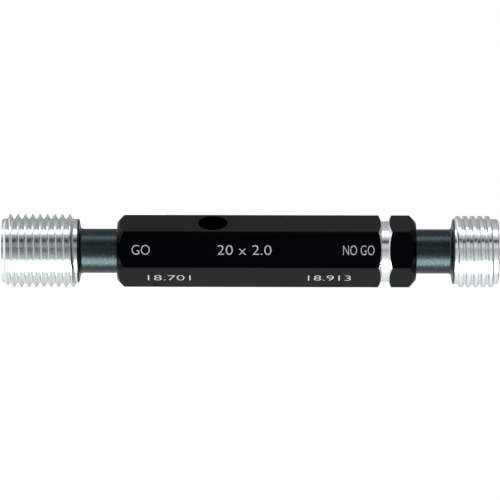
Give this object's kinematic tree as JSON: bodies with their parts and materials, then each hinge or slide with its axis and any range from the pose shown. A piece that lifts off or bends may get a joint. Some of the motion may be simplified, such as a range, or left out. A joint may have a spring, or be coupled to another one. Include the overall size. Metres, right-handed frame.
{
  "type": "thread plug gauge",
  "caption": "Double-ended thread plug gauge for an internal metric thread: bright GO and NO-GO screw plugs in a blackened hexagonal handle with a turned ring groove and a drift hole.",
  "frame": {"origin": "middle of the GO end face, on which the gauge stands", "axes": "+Z along the common axis from the GO end to the NO-GO end; -Y is the normal of the handle's front flat; +X completes the right-handed frame and points at a corner of the hexagon"},
  "size_m": [0.02, 0.02, 0.134],
  "materials": {
    "blackened_handle": "satin",
    "ground_steel": "satin"
  },
  "bodies": {
    "root": {"handle": "blackened_handle", "go_gauge": "ground_steel", "nogo_gauge": "ground_steel"}
  },
  "joints": []
}
